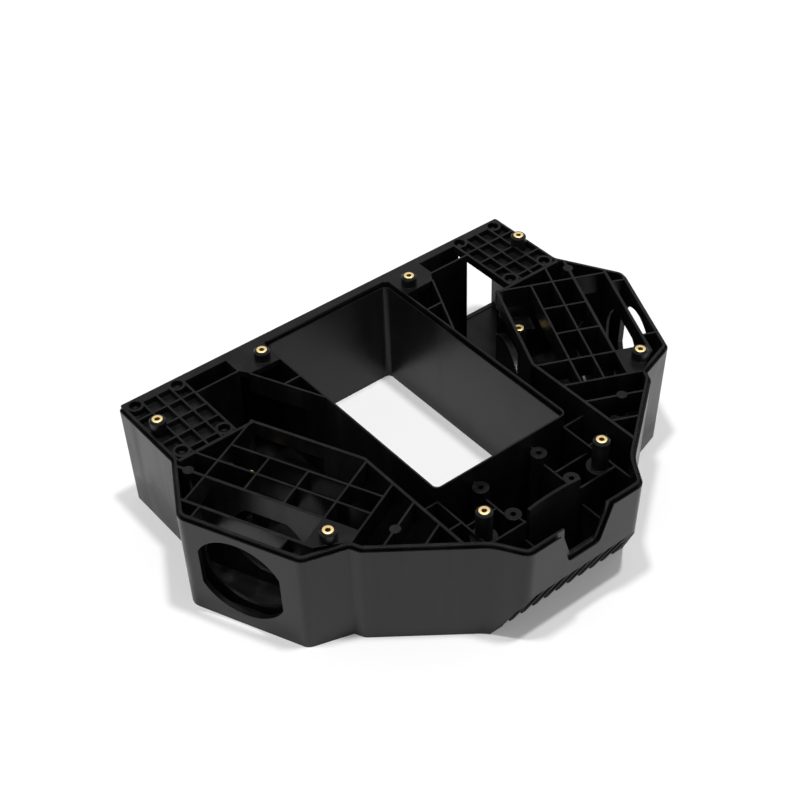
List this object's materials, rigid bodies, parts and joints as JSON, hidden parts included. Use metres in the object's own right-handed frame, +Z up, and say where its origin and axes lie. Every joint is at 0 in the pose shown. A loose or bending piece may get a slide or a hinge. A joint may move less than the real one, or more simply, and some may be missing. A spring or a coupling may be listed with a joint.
{
  "type": "moulded plastic housing",
  "caption": "Ribbed black moulded plastic housing with flared side pods, a central window and brass threaded inserts along its open rim.",
  "frame": {"origin": "centre of the bounding box in X and Y, on the base plane the housing stands on (Z = 0)", "axes": "+X to the right across the width from pod to pod, +Y towards the straight rear edge with the -Y end at the nose, +Z up towards the open rim and the inserts"},
  "size_m": [0.2314, 0.1662, 0.0555],
  "materials": {
    "plastic": "satin",
    "brass": "machined"
  },
  "bodies": {
    "root": {"housing": "plastic", "threaded_inserts": "brass"}
  },
  "joints": []
}
